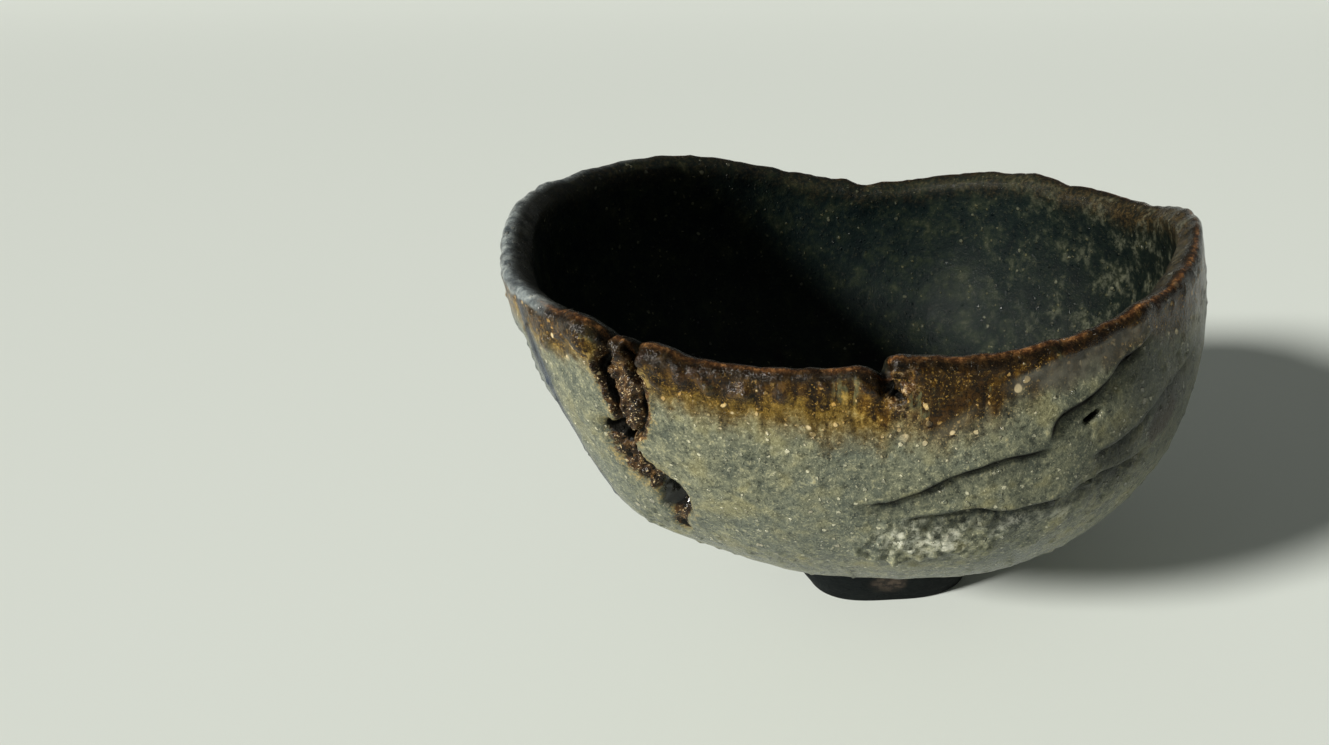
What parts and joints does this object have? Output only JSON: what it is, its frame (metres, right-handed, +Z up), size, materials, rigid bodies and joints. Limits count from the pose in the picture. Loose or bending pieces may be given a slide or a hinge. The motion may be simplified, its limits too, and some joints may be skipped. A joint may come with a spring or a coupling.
{
  "type": "bowl",
  "caption": "Small hand-built stoneware tea bowl with a lopsided deep wall, an uneven rim, a firing crack, clay folds and a low turned foot.",
  "frame": {"origin": "middle of the overall box in plan, on the surface the foot stands on", "axes": "+Z up, -Y towards the front of the bowl with the firing crack at its left, +X to the right seen from the front"},
  "size_m": [0.132, 0.1206, 0.0832],
  "materials": {
    "glazed_stoneware": null
  },
  "bodies": {
    "root": {"bowl": "glazed_stoneware"}
  },
  "joints": []
}
